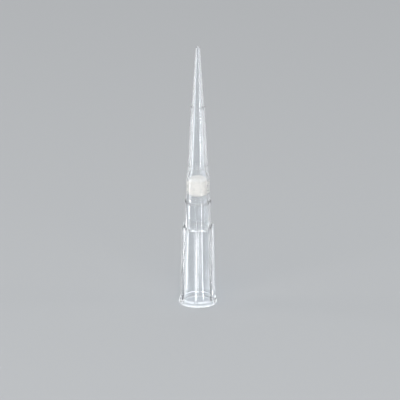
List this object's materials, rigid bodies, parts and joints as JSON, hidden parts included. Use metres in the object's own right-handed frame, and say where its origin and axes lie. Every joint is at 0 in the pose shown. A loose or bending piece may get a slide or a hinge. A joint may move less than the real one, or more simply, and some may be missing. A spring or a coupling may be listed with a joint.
{
  "type": "filter pipette tip",
  "caption": "Clear tapered pipette tip with a stepped barrel, a ribbed socket and collar, and a white porous filter plug inside.",
  "frame": {"origin": "centre of the collar's rim plane, on the tip's axis", "axes": "+Z along the axis from the collar to the delivery end, -Y through the middle of one rib"},
  "size_m": [0.0072, 0.0072, 0.05],
  "materials": {
    "clear_polypropylene": "moulded, clear with a faint haze",
    "porous_polyethylene": "sintered, white and matt"
  },
  "bodies": {
    "root": {"tip_body": "clear_polypropylene", "filter_plug": "porous_polyethylene"}
  },
  "joints": []
}
